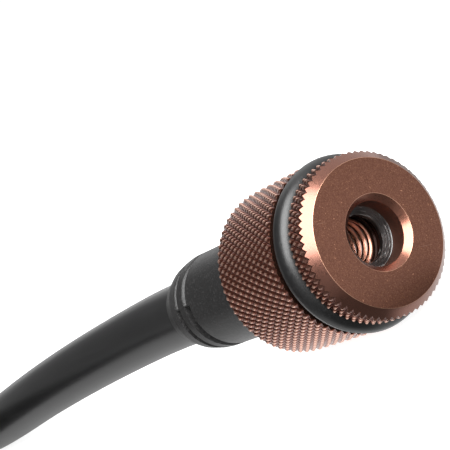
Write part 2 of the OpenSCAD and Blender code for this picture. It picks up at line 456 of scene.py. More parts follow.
def bronze(name, roughness=0.36, blast=1.0, specks=False, tips=None, base=BRONZE, coat=0.35, coat_roughness=0.2):
    """Anodised aluminium, bead blasted. tips is (centre, axis, r_low, r_tip) where a knurl's points are painted
    lighter, partly wear and partly a painted highlight, and its grooves darker with painted shade.
    """
    m = Look(name, base, 1.0, roughness, Coat_Weight=coat, Coat_Roughness=coat_roughness, Coat_IOR=1.5)
    grain = m.noise(m.coord, 11000, 2, 0.6)
    cloud = m.noise(m.coord, 420, 3, 0.55)
    m.tint(m.span(cloud, 0.35, 0.75, 0.0, 0.22), tuple(c * 1.25 for c in base))
    m.tint(m.span(grain, 0.40, 0.72, 0.0, 0.20 * blast), BRONZE_LIGHT)
    m.tint(m.span(grain, 0.52, 0.24, 0.0, 0.30 * blast), BRONZE_DARK)
    if specks:
        fine = m.noise(m.coord, 15500, 1, 0.5)
        m.tint(m.span(fine, 0.58, 0.74, 0.0, 0.34), (0.52, 0.25, 0.13))
        m.tint(m.span(fine, 0.40, 0.24, 0.0, 0.34), BRONZE_DARK)
        dots = m.noise(m.coord, 7200, 1, 0.4)
        m.tint(m.span(dots, 0.745, 0.78, 0.0, 0.7), (0.62, 0.30, 0.18))
        # hairline scratches: a noise drawn out along one direction, cut thin
        for turn, seed in ((0.6, 0.0), (-0.9, 3.1)):
            rot = m.add("ShaderNodeVectorRotate", rotation_type="X_AXIS")
            m.link(m.coord, rot.inputs["Vector"])
            rot.inputs["Angle"].default_value = turn
            lines = m.noise(m.scaled(rot.outputs[0], (1, 9000, 130)), 1.0, 0, 0.5)
            gate = m.noise(m.scaled(rot.outputs[0], (1, 900, 260)), 1.0 + seed * 0.1, 1, 0.5)
            hit = m.math("MULTIPLY", m.span(lines, 0.79, 0.83), m.span(gate, 0.55, 0.68))
            m.tint(m.math("MULTIPLY", hit, 0.55), (0.6, 0.36, 0.26))
    if tips:
        r, _, _ = m.polar(tips[0], tips[1])
        # knurl points lighter: partly wear, partly a painted highlight of the key light on rounded tips
        m.tint(m.span(r, tips[2] + 0.54 * (tips[3] - tips[2]), tips[2] + 0.82 * (tips[3] - tips[2]), 0.0, 1.0), BRONZE_TIP_WEAR_AND_HIGHLIGHT)
        # painted shade: the knurl grooves darken towards their bottoms
        m.tint(m.span(r, tips[2] + 0.70 * (tips[3] - tips[2]), tips[2] + 0.42 * (tips[3] - tips[2]), 0.0, 0.86), (0.145, 0.043, 0.028))
    if tips:
        m.vary(m.noise(m.coord, 6500, 2, 0.6), roughness - 0.04, roughness + 0.05)
    else:
        m.vary(m.noise(m.coord, 6500, 2, 0.6), roughness - 0.07, roughness + 0.10)
    m.bump(grain, 0.22 * blast, 0.00002)
    return m.mat


def rubber(name, base, roughness=0.5, grain=3800.0, strength=0.25, dust=0.35, share=0.56, **sockets):
    m = Look(name, base, 0.0, roughness, **sockets)
    n = m.noise(m.coord, grain, 3, 0.6)
    c = m.noise(m.coord, 260, 2, 0.5)
    m.tint(m.span(c, 0.35, 0.75, 0.0, 0.5), tuple(x * 1.5 for x in base))
    m.tint(m.span(n, share, share + 0.14, 0.0, dust), tuple(min(1, x * 3.6) for x in base))
    m.vary(n, roughness - 0.10, roughness + 0.14)
    m.bump(n, strength, 0.00003)
    return m.mat


def metal(name, base, roughness=0.3, centre=(0, 0, 0), axis="X", lines=30000.0, **sockets):
    """Turned metal with fine rings round its axis."""
    m = Look(name, base, 1.0, roughness, **sockets)
    r, a, x = m.polar(centre, axis)
    v = m.join(m.math("MULTIPLY", r, lines), m.math("MULTIPLY", a, 1.6), m.math("MULTIPLY", x, lines))
    n = m.noise(v, 1.0, 2, 0.5)
    c = m.noise(m.coord, 600, 3, 0.6)
    m.tint(m.span(c, 0.4, 0.75, 0.0, 0.25), tuple(x * 0.7 for x in base))
    m.vary(n, roughness - 0.06, roughness + 0.12)
    m.bump(n, 0.18, 0.000008)
    return m.mat


# ---------------------------------------------------------------- the cable

COIL = (-98.0, -29.6)
R_OUT, R_IN, R_TOP, D_CABLE = 28.6, 23.4, 26.0, 5.2
LOW_Z = TABLE_Z + D_CABLE / 2


def ramp(x, a, b):
    t = min(1.0, max(0.0, (x - a) / (b - a)))
    return t * t * (3 - 2 * t)


def coil_point(t):
    """Middle of the cable at t degrees round the coil, from 90 where it comes in to 990 where it leaves."""
    if t <= 360:
        r, z = R_OUT, 0.0
    elif t <= 640:
        r, z = R_OUT + (R_IN - R_OUT) * ramp(t, 356, 444), 0.0
    elif t <= 730:
        roll = math.radians(60 * ramp(t, 640, 722))
        r, z = R_OUT - D_CABLE * math.cos(roll), D_CABLE * math.sin(roll)
    else:
        under = R_OUT + (R_IN - R_OUT) * ramp(t - 360, 356, 444)
        off = under - R_TOP
        r, z = R_TOP, math.sqrt(max(D_CABLE**2 - off**2, 0)) + 0.12
    lift = 0.5 * max(0.0, 1 - abs(((t - 180 + 180) % 360) - 180) / 34.0)
    lift = lift * lift * (3 - 2 * lift) if lift < 0.5 else 0.5
    q = math.radians(t)
    return (COIL[0] + r * math.cos(q), COIL[1] + r * math.sin(q), LOW_Z + z + lift)


LEAD = [
    (-16.6, 0, 0), (-19.6, 0, 0), (-22.6, 0, 0), (-25.8, -0.04, 0), (-29, -0.1, 0),
    (-33, -0.23, -0.09), (-37, -0.4, -0.21), (-42, -0.61, -0.39), (-47, -0.82, -0.63),
    (-52, -0.98, -0.95), (-57, -1.1, -1.32), (-62, -1.14, -1.78), (-67, -1.12, -2.3),
    (-72, -1.07, -2.82), (-77, -1.03, -3.22), (-82, -1.0, -3.44), (-87, -1.0, -3.5),
    (-92.5, -1.0, -3.5),
]
ROUTE = LEAD + [coil_point(t) for t in range(90, 991, 15)] + [
    (-93.0, -55.6, 1.5), (-88.5, -55.6, 1.75), (-83.5, -55.6, 1.7), (-79, -55.6, 1.55),
    (-74.5, -55.6, 1.5), (-70, -55.6, 1.5),
]


def cable():
    cu = bpy.data.curves.new("cable", "CURVE")
    cu.dimensions = "3D"
    sp = cu.splines.new("NURBS")
    sp.points.add(len(ROUTE) - 1)
    for p, q in zip(sp.points, ROUTE):
        p.co = (q[0] * MM, q[1] * MM, q[2] * MM, 1)
    sp.use_endpoint_u = True
    sp.order_u = 4
    sp.resolution_u = 6
    cu.bevel_depth = D_CABLE / 2 * MM
    cu.bevel_resolution = 10
    cu.use_fill_caps = True
    o = bpy.data.objects.new("cable", cu)
    bpy.context.scene.collection.objects.link(o)
    m = Look("cable_sheath", (0.0055, 0.0055, 0.0057), 0.0, 0.40, Specular_IOR_Level=0.5)
    n = m.noise(m.coord, 2600, 3, 0.6)
    c = m.noise(m.coord, 140, 3, 0.6)
    long = m.noise(m.scaled(m.coord, (60, 1400, 1400)), 1.0, 2, 0.5)
    m.tint(m.span(c, 0.35, 0.75, 0.0, 0.55), (0.009, 0.0088, 0.009))
    m.tint(m.span(long, 0.55, 0.8, 0.0, 0.35), (0.012, 0.0117, 0.012))
    m.vary(c, 0.27, 0.36)
    m.bump(n, 0.10, 0.00002)
    m.bump(long, 0.10, 0.00003)
    cu.materials.append(m.mat)
    finish_piece(o, BODY, "cable_sheath", "cable_lead", "cable_coil", "cable_tail")
    return o


the_cable = cable()


# ---------------------------------------------------------------- coupling head

STARTS, PER_MM, KNURL, FLAT = 70, 1.045, 0.185, 0.20
X_FACE, X_BAND, X_BARREL, X_BACK = 3.4, 1.36, -0.56, -7.9


def material_by(me, mats, choose):
    for m in mats:
        me.materials.append(m)
    for p in me.polygons:
        p.material_index = choose(p)


def front_collar():
    face, chamfer = 5.03, 0.67
    prof = rounded(
        [
            (2.19, 0.0), (2.19, 0.95), (2.19, 2.97, 0.05), (2.62, X_FACE, 0.045), (face, X_FACE, 0.05),
            (face + 0.80, X_FACE - 0.80), (5.83, 1.46), (5.70, 1.42), (5.55, X_BAND), (4.35, X_BAND),
            (4.35, X_BARREL), (3.9, X_BARREL), (3.9, -4.1), (2.62, -4.1), (2.62, 0.0),
        ],
        seg=4,
    )
    body = turned(prof, 4 * STARTS, name="front_collar")  # the bore is split where the black ring sits
    bar = knurl_bar(5.7, KNURL, STARTS, PER_MM, 1.2, 3.9, FLAT, plain_lo=-4.6, r_plain=5.95)
    me = boolean(body, bar, "INTERSECT")
    blasted = bronze("bronze_blasted", 0.42, 1.0, specks=True, coat=0.15)
    machined = bronze("bronze_machined", 0.28, 0.25, base=(0.19, 0.078, 0.053), coat=0.52, coat_roughness=0.26)
    knurled = bronze("bronze_knurl_front", 0.27, 0.5, tips=((0, 0, 0), "X", 0.005525, 0.0057), base=BRONZE_KNURL_PAINTED_LIGHT, coat=0.2)
    inside = bronze("bronze_bore", 0.42, 0.5, base=(0.21, 0.098, 0.070), coat=0.0)
    # painted shade: a near-black copy of the bronze in the bore behind the black ring
    deep = bronze("bronze_deep_painted_shade", 0.5, 0.5, base=(0.035, 0.016, 0.012), coat=0.0)
    # the face's rounded edges: much lighter, partly edge wear and partly a painted highlight line
    edge = bronze("bronze_edge_wear_and_highlight", 0.32, 0.3, base=(0.62, 0.33, 0.22), coat=0.3)
    # the hole's chamfer: a lighter copy of the machined bronze, painted bounce light
    mouth_painted_bounce = bronze("bronze_mouth_painted_bounce", 0.28, 0.25, base=(0.245, 0.098, 0.063), coat=0.48, coat_roughness=0.26)

    def choose(p):
        c, n = p.center, p.normal
        r = math.hypot(c.y, c.z)
        if c.x > 3.34 and 0.74 < n.x < 0.988:
            return 5
        if c.x > 3.385 and n.x > 0.9:
            return 0
        if c.x > 2.5 and n.x > 0.25:
            return 6 if r < 3.2 else 1
        if r < 2.3:
            return 3 if c.x > 1.0 else 4
        if c.x < 1.2:
            return 3
        return 2 if r > 4.9 else 1

    material_by(me, (blasted, machined, knurled, inside, deep, edge, mouth_painted_bounce), choose)
    o = piece("front_collar_knurled", me, smooth=None)
    crease(o.data, {2: 80}, 32)
    return finish_piece(o, HEAD, "bronze_anodised", "front_collar")


def rear_barrel():
    prof = rounded(
        [
            (3.92, X_BARREL), (5.95, X_BARREL, 0.03), (6.15, X_BARREL - 0.12), (6.15, X_BACK + 0.30),
            (5.83, X_BACK, 0.06), (3.0, X_BACK, 0.08), (3.0, -6.6), (3.92, -6.6),
        ],
        seg=3,
    )
    body = turned(prof, 4 * STARTS, name="rear_barrel")
    bar = knurl_bar(6.05, KNURL, STARTS, PER_MM, -8.4, 0.0, FLAT, phase=0.35)
    me = boolean(body, bar, "INTERSECT")
    knurled = bronze("bronze_knurl_rear", 0.27, 0.5, tips=((0, 0, 0), "X", 0.005875, 0.00605), base=BRONZE_KNURL_PAINTED_LIGHT, coat=0.2)
    plain = bronze("bronze_turned", 0.30, 0.4)
    # painted shade: a near-black copy of the bronze on the barrel's front face, under the O-ring
    seat_painted_shade = bronze("bronze_seat_painted_shade", 0.5, 0.5, base=(0.03, 0.013, 0.009), coat=0.0)

    def choose(p):
        r = math.hypot(p.center.y, p.center.z)
        if p.center.x > X_BARREL - 0.12 and p.normal.x > 0.5:
            return 2
        return 0 if r > 5.6 else 1

    material_by(me, (knurled, plain, seat_painted_shade), choose)
    o = piece("rear_barrel_knurled", me, smooth=None)
    crease(o.data, {0: 80}, 32)
    return finish_piece(o, HEAD, "bronze_anodised", "rear_barrel")


def grip_ring():
    r0, rr, mid = 6.1 - 0.87, 0.87, (X_BAND + X_BARREL) / 2
    prof = []
    for k in range(56):
        a = 2 * math.pi * k / 56
        extra = 0.022 * math.exp(-((a if a < math.pi else a - 2 * math.pi) / 0.045) ** 2)
        prof.append((r0 + (rr + extra) * math.cos(a), mid + (rr + extra) * math.sin(a)))
    me = turned(prof, 200, name="grip_ring")
    me.materials.append(rubber("oring_rubber", (0.004, 0.004, 0.0041), 0.35, 6500, 0.14, Specular_IOR_Level=0.5))
    return finish_piece(piece("grip_ring_rubber", me, smooth=80), HEAD, "black_rubber", "grip_ring")


def friction_ring():
    prof = [(2.18, 0.90), (1.70, 0.90)]
    face = rounded([(1.68, 0.9), (1.68, 1.20, 0.05), (2.18, 1.66), (2.18, 0.9)], closed=True, seg=5)
    # a turned face: low ripples from the tool
    prof = []
    for i, p in enumerate(face):
        q = face[(i + 1) % len(face)]
        prof.append(tuple(p))
        if p[1] > 1.05 and q[1] > 1.05 and np.linalg.norm(q - p) > 0.2:
            for k in range(1, 24):
                f = k / 24
                w = p * (1 - f) + q * f
                prof.append((w[0], w[1] + (0.010 if k % 2 else -0.006) * (1 + 0.6 * math.sin(k * 2.1))))
    me = turned(prof, 160, name="friction_ring")
    m = Look("black_turned", (0.0045, 0.0040, 0.0040), 0.0, 0.30, Specular_IOR_Level=1.0)
    r, a, x = m.polar()
    v = m.join(m.math("MULTIPLY", r, 16000), m.math("MULTIPLY", a, 1.1), m.math("MULTIPLY", x, 9000))
    n = m.noise(v, 1.0, 3, 0.7)
    v2 = m.join(m.math("MULTIPLY", r, 21000), m.math("MULTIPLY", a, 1.7), m.math("MULTIPLY", x, 3000))
    scuff = m.noise(v2, 1.0, 2, 0.6)
    m.tint(m.span(n, 0.56, 0.74, 0.0, 0.42), (0.12, 0.112, 0.108))
    m.tint(m.span(scuff, 0.60, 0.68, 0.0, 0.8), (0.34, 0.33, 0.32))
    m.vary(n, 0.19, 0.44)
    m.bump(n, 0.6, 0.00002)
    me.materials.append(m.mat)
    return finish_piece(piece("friction_ring_turned", me, smooth=30), HEAD, "black_nylon", "friction_ring")


def thread_rod(pitch, r_crest, r_root, x_from, turns, n=72):
    """Solid in the shape of the space inside a female thread, right-handed about +X."""
    corners = [(0.0, r_crest), (0.27, r_crest), (0.30, r_crest + 0.012), (0.58, r_root), (0.70, r_root), (0.97, r_crest + 0.012)]
    verts, index = [], {}
    j_count = len(corners)
    for i in range(n * turns + 1):
        a = 2 * math.pi * i / n
        for j, (c, r) in enumerate(corners):
            index[i, j] = len(verts)
            verts.append((x_from + pitch * (i / n + c), r * math.cos(a), r * math.sin(a)))
    for i in range(n * turns - n + 1, n * turns + 1):  # last edge of the last turn
        a = 2 * math.pi * i / n
        index[i + n, 0] = len(verts)
        verts.append((x_from + pitch * (i / n + 1), r_crest * math.cos(a), r_crest * math.sin(a)))

    def at(i, j):
        return index[i, j] if j < j_count else index[i + n, 0]

    faces = []
    for i in range(n * turns):
        for j in range(j_count):
            faces.append((at(i, j), at(i + 1, j), at(i + 1, j + 1), at(i, j + 1)))
    lo = len(verts)
    verts.append((x_from - 0.6, 0, 0))
    hi = len(verts)
    verts.append((x_from + pitch * (turns + 1) + 0.6, 0, 0))
    loop = [index[i, 0] for i in range(n + 1)] + [index[0, j] for j in range(j_count - 1, 0, -1)]
    for p, q in zip(loop, loop[1:] + loop[:1]):
        faces.append((p, q, lo))
    e = n * turns
    loop = [at(i, j_count) for i in range(e - n, e + 1)] + [index[e, j] for j in range(j_count - 1, -1, -1)]
    # the loop closes where the last profile meets the helix again
    for p, q in zip(loop, loop[1:] + loop[:1]):
        faces.append((p, q, hi))
    return mesh_of("thread", verts, faces)


def thread_insert():
    body = turned([(0, -4.0), (2.6, -4.0), (2.6, 0.0), (0, 0.0)], 144, closed=False, name="thread_insert")
    rod = thread_rod(0.7, 1.62, 1.99, -6.0, 9)
    me = boolean(body, rod, "DIFFERENCE")
    cone = turned([(0, -0.22), (1.60, -0.22), (1.66, -0.16), (2.06, -0.16), (2.06, 0.12), (0, 0.12)], 144, closed=False)
    me = boolean(me, cone, "DIFFERENCE")
    m = Look("thread_copper", (0.43, 0.185, 0.120), 1.0, 0.27, Coat_Weight=0.8, Coat_Roughness=0.16)
    r, a, x = m.polar()
    v = m.join(m.math("MULTIPLY", r, 9000), m.math("MULTIPLY", a, 1.3), m.math("MULTIPLY", x, 14000))
    n = m.noise(v, 1.0, 3, 0.65)
    # painted shade: the thread darkens towards its roots
    m.tint(m.span(r, 0.00174, 0.00186, 0.0, 0.95), (0.030, 0.011, 0.007))
    m.tint(m.span(n, 0.56, 0.68, 0.0, 0.8), (0.14, 0.10, 0.085))
    m.vary(n, 0.22, 0.46)
    m.bump(n, 0.35, 0.00002)
    me.materials.append(m.mat)
    return finish_piece(piece("thread_insert_helical", me, smooth=32), HEAD, "insert_bronze", "thread_insert")


front_collar()
rear_barrel()
grip_ring()
friction_ring()
thread_insert()


# ---------------------------------------------------------------- strain reliefs


def slot_dent(slots, edge=0.05):
    """How deep the moulded slots are at (r, x, angle). A slot is (far x, near x, depth, r, first angle, last angle,
    width of the far wall's slope); its near wall is steep."""

    def dent(r, x, a):
        d = np.zeros_like(r)
        deg = np.degrees(a)
        for far, near, depth, rr, first, last, slope in slots:
            wall = np.clip((x - far) / slope, 0, 1)
            wall = wall - 0.06 * np.sin(2 * math.pi * wall)
            across = wall * (1 - smoothstep(near - edge, near + edge, x))
            ease = math.degrees(edge / rr)
            rel = (deg - first + 20) % 360 - 20
            inside = smoothstep(-ease, ease, rel) * (1 - smoothstep(last - first - ease, last - first + ease, rel))
            d = np.maximum(d, depth * across * inside)
        return d * (r > rr - 1.4)

    return dent


def dense(profile, at):
    """Adds rows to a profile so that there is one at each x in at, on the outer side."""
    out = []
    for i, p in enumerate(profile):
        q = profile[(i + 1) % len(profile)]
        out.append(tuple(p[:2]))
        if p[0] > 2.7 and q[0] > 2.7 and abs(q[1] - p[1]) > 1e-6:
            inner = [x for x in at if min(p[1], q[1]) + 1e-4 < x < max(p[1], q[1]) - 1e-4]
            for x in sorted(inner, reverse=q[1] < p[1]):
                f = (x - p[1]) / (q[1] - p[1])
                out.append((p[0] + f * (q[0] - p[0]), x))
    return out


def head_boot():
    outer = rounded(
        [
            (2.96, -8.05), (3.72, -8.05, 0.10), (3.76, -14.0), (3.77, -17.6, 2.0), (3.78, -19.05, 1.2),
            (3.55, -20.6, 1.2), (3.05, -22.15, 0.9), (2.78, -22.6, 0.12), (2.62, -22.6),
            (2.60, -16.6), (2.55, -16.55), (2.55, -8.7), (2.96, -8.7),
        ],
        seg=8,
    )
    slots = []
    for far, step, wide in ((-18.08, 143.6, 0.84), (-19.50, 144.2, 0.62)):
        for half in (0, 180):
            slots.append((far + 0.12, far + 0.10 + wide, 0.66, 3.77, step + 1.2 + half, step + 100 + half, 0.12))
            slots.append((far, far + 0.54, 0.42, 3.77, step + 103 + half, step + 178.8 + half, 0.42))
    xs = []
    for far, near, depth, *_ in slots:
        xs += [far + k * 0.06 for k in range(-1, 9)] + [near + k * 0.025 for k in range(-3, 4)]
        xs += [far + k * 0.03 for k in range(0, 5)]
    xs += list(np.arange(-22.4, -8.2, 0.35))
    prof = dense(outer, sorted(set(round(v, 3) for v in xs)))
    me = skin(prof, slot_dent(slots), 360, "head_boot")
    me.materials.append(rubber("boot_rubber", (0.0076, 0.0073, 0.0073), 0.42, 6000, 1.0, Specular_IOR_Level=0.36, dust=0.75, share=0.53))
    return finish_piece(piece("head_boot_moulded", me, smooth=60), BODY, "black_rubber", "head_boot")


head_boot()


# ---------------------------------------------------------------- materials of the rest

AXIS = (0, GRIP.y * MM, GRIP.z * MM)
ON_GRIP = Matrix.Translation(GRIP)
LOCK_S = 58.2
UPRIGHT = Matrix.Translation((LOCK_S, 0, 0)) @ Matrix.Rotation(-math.pi / 2, 4, "Y")
STARTS_G, PER_MM_G, KNURL_G = 60, 0.9, 0.20

steel = metal("steel_turned", (0.60, 0.60, 0.61), 0.26)
steel_grip = metal("steel_turned_grip", (0.60, 0.60, 0.61), 0.26, AXIS)
brass = metal("brass_turned", (0.66, 0.47, 0.20), 0.28)
brass_grip = metal("brass_turned_grip", (0.66, 0.47, 0.20), 0.28, AXIS)
black_alu = metal("black_anodised", (0.030, 0.030, 0.032), 0.36, AXIS, 24000, Coat_Weight=0.25, Coat_Roughness=0.3)
nylon_look = Look("nylon_washer", (0.72, 0.70, 0.64), 0.0, 0.45, Subsurface_Weight=0.1)
nylon_look.bump(nylon_look.noise(nylon_look.coord, 3000, 2), 0.2, 0.00002)
bronze_grip = bronze("bronze_grip", 0.36, 0.8)
bronze_cap_knurl = bronze("bronze_knurl_cap", 0.30, 0.5, tips=(AXIS, "X", 0.0059, 0.0061), base=BRONZE_KNURL_PAINTED_LIGHT, coat=0.4)
bronze_nut_knurl = bronze("bronze_knurl_nut", 0.30, 0.5, tips=(AXIS, "X", 0.0069, 0.0071), base=BRONZE_KNURL_PAINTED_LIGHT, coat=0.4)
bronze_screw_knurl = bronze(
    "bronze_knurl_screw", 0.30, 0.5, tips=(((GRIP.x + LOCK_S) * MM, GRIP.y * MM, 0), "Z", 0.0028, 0.003),
    base=BRONZE_KNURL_PAINTED_LIGHT, coat=0.4,
)
boot_grip = rubber("boot_rubber_grip", (0.0085, 0.0082, 0.0082), 0.44, 7000, 0.7, dust=0.75)


def webbing():
    m = Look("strap_webbing", (0.017, 0.017, 0.018), 0.0, 0.75, Sheen_Weight=0.3)
    ribs = m.noise(m.scaled(m.coord, (500, 6200, 500)), 1.0, 1, 0.5)
    threads = m.noise(m.scaled(m.coord, (5200, 2400, 5200)), 1.0, 1, 0.5)
    m.tint(m.span(threads, 0.45, 0.7, 0.0, 0.6), (0.040, 0.040, 0.042))
    m.bump(ribs, 0.8, 0.00008)
    m.bump(threads, 0.5, 0.00005)
    return m.mat


strap = webbing()


# ---------------------------------------------------------------- thumb grip


def two_tone(me, knurled, plain, r_tip, x_lo, x_hi, about=(0.0, 0.0)):
    """Knurl material on the outer skin between x_lo and x_hi, the plain one elsewhere."""

    def choose(p):
        r = math.hypot(p.center.y - about[0], p.center.z - about[1])
        return 0 if r > r_tip - 0.24 and x_lo < p.center.x < x_hi else 1

    material_by(me, (knurled, plain), choose)


def tail_cap():
    prof = rounded(
        [
            (4.05, 12), (5.7, 12, 0.12), (6.1, 12.5, 0.12), (6.1, 13.2, 0.05), (5.86, 13.33), (5.86, 13.48),
            (6.1, 13.6), (6.1, 19.4), (5.86, 19.52), (5.86, 19.7), (6.1, 19.85, 0.05), (6.1, 22, 0.15),
            (5.06, 22), (5.06, 13.3), (4.05, 13.3),
        ],
        seg=3,
    )
    bar = knurl_bar(6.1, KNURL_G, STARTS_G, PER_MM_G, 13.6, 19.4, 0.2, plain_lo=11, r_plain=6.6, plain_hi=23)
    me = boolean(turned(prof, 4 * STARTS_G, name="tail_cap"), bar, "INTERSECT")
    two_tone(me, bronze_cap_knurl, bronze_grip, 6.1, 13.4, 19.5)
    o = piece("tail_cap_knurled", me, place=ON_GRIP, smooth=None)
    crease(o.data, {0: 80}, 30)
    return finish_piece(o, BODY, "bronze_anodised", "tail_cap")


def grip_tube():
    outer = [(7, 22.05), (7.6, 22.7, 0.25)]
    for s in (24.2, 25.2):
        outer += [(7.6, s, 0.06), (7.42, s + 0.08, 0.05), (7.42, s + 0.42, 0.05), (7.6, s + 0.5, 0.06)]
    for s in (46.3, 47.3):
        outer += [(7.6, s, 0.06), (7.42, s + 0.08, 0.05), (7.42, s + 0.42, 0.05), (7.6, s + 0.5, 0.06)]
    prof = rounded(
        [(0.75, 16.7), (5, 16.7, 0.1), (5, 22.05)] + outer
        + [(7.6, 49.5, 0.25), (7.1, 50), (5.6, 50), (5.6, 55.3), (4.6, 55.3), (4.6, 23.8), (0.75, 23.8)],
        seg=3,
    )
    me = turned(prof, 144, name="grip_body")
    me.materials.append(black_alu)
    return finish_piece(piece("grip_body_turned", me, place=ON_GRIP, smooth=30), BODY, "black_anodised", "grip_body")


def finger_plate():
    n = 360
    a = 2 * math.pi * np.arange(n) / n
    c, s = np.abs(np.cos(a)), np.abs(np.sin(a))
    with np.errstate(divide="ignore", invalid="ignore"):
        bar = np.minimum(9.5 / np.maximum(c, 1e-9), 4.5 / np.maximum(s, 1e-9))
        lobe = np.where(9.5 * s < 5, 9.5 * c + np.sqrt(np.maximum(25 - (9.5 * s) ** 2, 0)), 0)
    r = np.maximum(np.maximum(bar, lobe), 7.5)
    w = np.exp(-0.5 * (np.arange(-9, 10) / 2.6) ** 2)
    r = np.convolve(np.concatenate([r[-9:], r, r[:9]]), w / w.sum(), "valid")
    rows = [r + q[0] for q in rounded([(-0.6, 50.02), (0, 50.02, 0.5), (0, 53.02, 0.5), (-0.6, 53.02)], closed=False, seg=5)]
    xs = [q[1] for q in rounded([(-0.6, 50.02), (0, 50.02, 0.5), (0, 53.02, 0.5), (-0.6, 53.02)], closed=False, seg=5)]
    rows += [np.full(n, 5.75), np.full(n, 5.63), np.full(n, 5.63), np.full(n, 5.75)]
    xs += [53.02, 52.9, 50.14, 50.02]
    v = [(x, q * math.cos(t), q * math.sin(t)) for x, row in zip(xs, rows) for q, t in zip(row, a)]
    m = len(xs)
    faces = [
        (i * n + k, i * n + (k + 1) % n, (i + 1) % m * n + (k + 1) % n, (i + 1) % m * n + k)
        for i in range(m)
        for k in range(n)
    ]
    me = mesh_of("finger_plate", v, faces)
    me.materials.append(bronze_grip)
    return finish_piece(piece("finger_plate_rounded", me, place=ON_GRIP, smooth=28), BODY, "bronze_anodised", "finger_plate")


def top_nut():
    prof = rounded(
        [
            (5.63, 53.04), (6.8, 53.04), (7.1, 53.4, 0.1), (7.1, 53.74, 0.04), (6.86, 53.86), (6.86, 53.98),
            (7.1, 54.1), (7.1, 56.06), (6.86, 56.18), (6.86, 56.34), (7.1, 56.48, 0.05), (7.1, 60.4, 0.2),
            (6.5, 61, 0.2), (4.1, 61, 0.05), (3.95, 60.8, 0.05), (3.05, 60.8), (3.05, 55.4), (5.63, 55.4),
        ],
        seg=3,
    )
    bar = knurl_bar(7.1, KNURL_G, 70, PER_MM_G, 54.1, 56.1, 0.2, plain_lo=52, r_plain=7.6, plain_hi=62)
    me = boolean(turned(prof, 280, name="top_nut"), bar, "INTERSECT")
    hole = turned([(0, 2.4), (1.3, 2.4), (1.3, 6.7), (1.8, 7.2), (1.8, 9), (0, 9)], 48, closed=False)
    hole.transform(UPRIGHT)
    me = boolean(me, hole, "DIFFERENCE")
    two_tone(me, bronze_nut_knurl, bronze_grip, 7.1, 54.0, 56.2)
    o = piece("top_nut_knurled", me, place=ON_GRIP, smooth=None)
    crease(o.data, {0: 80}, 30)
    return finish_piece(o, BODY, "bronze_anodised", "top_nut")


def box_mesh(lo, hi):
    v = [(x, y, z) for x in (lo[0], hi[0]) for y in (lo[1], hi[1]) for z in (lo[2], hi[2])]
    f = [(0, 1, 3, 2), (4, 6, 7, 5), (0, 4, 5, 1), (2, 3, 7, 6), (0, 2, 6, 4), (1, 5, 7, 3)]
    return mesh_of("box", v, f)


def lock_screw():
    prof = rounded(
        [
            (0, 3.5), (1.0, 3.5), (1.22, 3.72), (1.22, 7.7), (2.65, 7.7, 0.08), (3.0, 8.05, 0.1), (3.0, 10.85, 0.1),
            (2.6, 11.3, 0.15), (0, 11.3),
        ],
        closed=False,
        seg=3,
    )
    bar = knurl_bar(3.0, KNURL_G, 30, PER_MM_G, 8.34, 10.55, 0.2, plain_lo=3, r_plain=3.5, plain_hi=12)
    me = boolean(turned(prof, 120, closed=False, name="lock_screw"), bar, "INTERSECT")
    me = boolean(me, box_mesh((10.75, -0.35, -4), (12, 0.35, 4)), "DIFFERENCE")
    two_tone(me, bronze_screw_knurl, bronze_grip, 3.0, 8.3, 10.6)
    o = piece("lock_screw_knurled", me, place=ON_GRIP @ UPRIGHT, smooth=None)
    crease(o.data, {0: 80}, 30)
    return finish_piece(o, "lock_screw", "bronze_anodised", "lock_screw")


def thumb_button():
    prof = rounded(
        [
            (0, 70), (2.03, 70), (2.03, 68), (3.0, 68), (4.2, 68, 0.3), (5.8, 69.4, 0.5), (6.2, 70.2, 0.6),
            (6.2, 71.6, 0.5), (5.6, 72.4, 0.35), (5.2, 72.34),
        ],
        closed=False,
        seg=5,
    )
    for r in np.arange(5.1, 0.05, -0.07):
        high = float(np.interp(r, (0, 2, 4.2, 5.6), (71.8, 71.9, 72.2, 72.4)))
        cut = sum(math.exp(-(((r - q) / 0.13) ** 2)) for q in (1.2, 2.1, 3.0, 3.9, 4.8))
        prof.append((r, high - 0.10 * cut))
    prof.append((0, 71.8))
    me = turned(prof, 120, closed=False, name="thumb_button")
    me.materials.append(black_alu)
    return finish_piece(piece("thumb_button_dished", me, place=ON_GRIP, smooth=32), PLUNGER, "black_anodised", "thumb_button")


def grip_boot():
    outer = rounded(
        [
            (2.66, 0), (2.86, 0, 0.08), (3.15, 1.2, 1.0), (3.6, 5, 3.0), (3.9, 10, 3.0), (3.9, 13.4, 0.15),
            (4.7, 13.4, 0.08), (4.7, 15, 0.08), (2.66, 15),
        ],
        seg=5,
    )
    slots = []
    for far, turn, r in ((3.4, 12, 3.4), (5.2, 102, 3.62)):
        for half in (0, 180):
            slots.append((far, far + 0.6, 0.5, r, turn + half, turn + half + 156, 0.06))
    xs = list(np.arange(0.4, 13.2, 0.4))
    for far in (3.4, 5.2):
        xs += [far + k * 0.02 for k in range(-1, 5)] + [far + 0.6 + k * 0.025 for k in range(-3, 4)]
    prof = dense(outer, sorted(set(round(float(v), 3) for v in xs)))
    me = skin(prof, slot_dent(slots), 240, "grip_boot")
    me.materials.append(boot_grip)
    return finish_piece(piece("grip_boot_moulded", me, place=ON_GRIP, smooth=50), BODY, "black_rubber", "grip_boot")


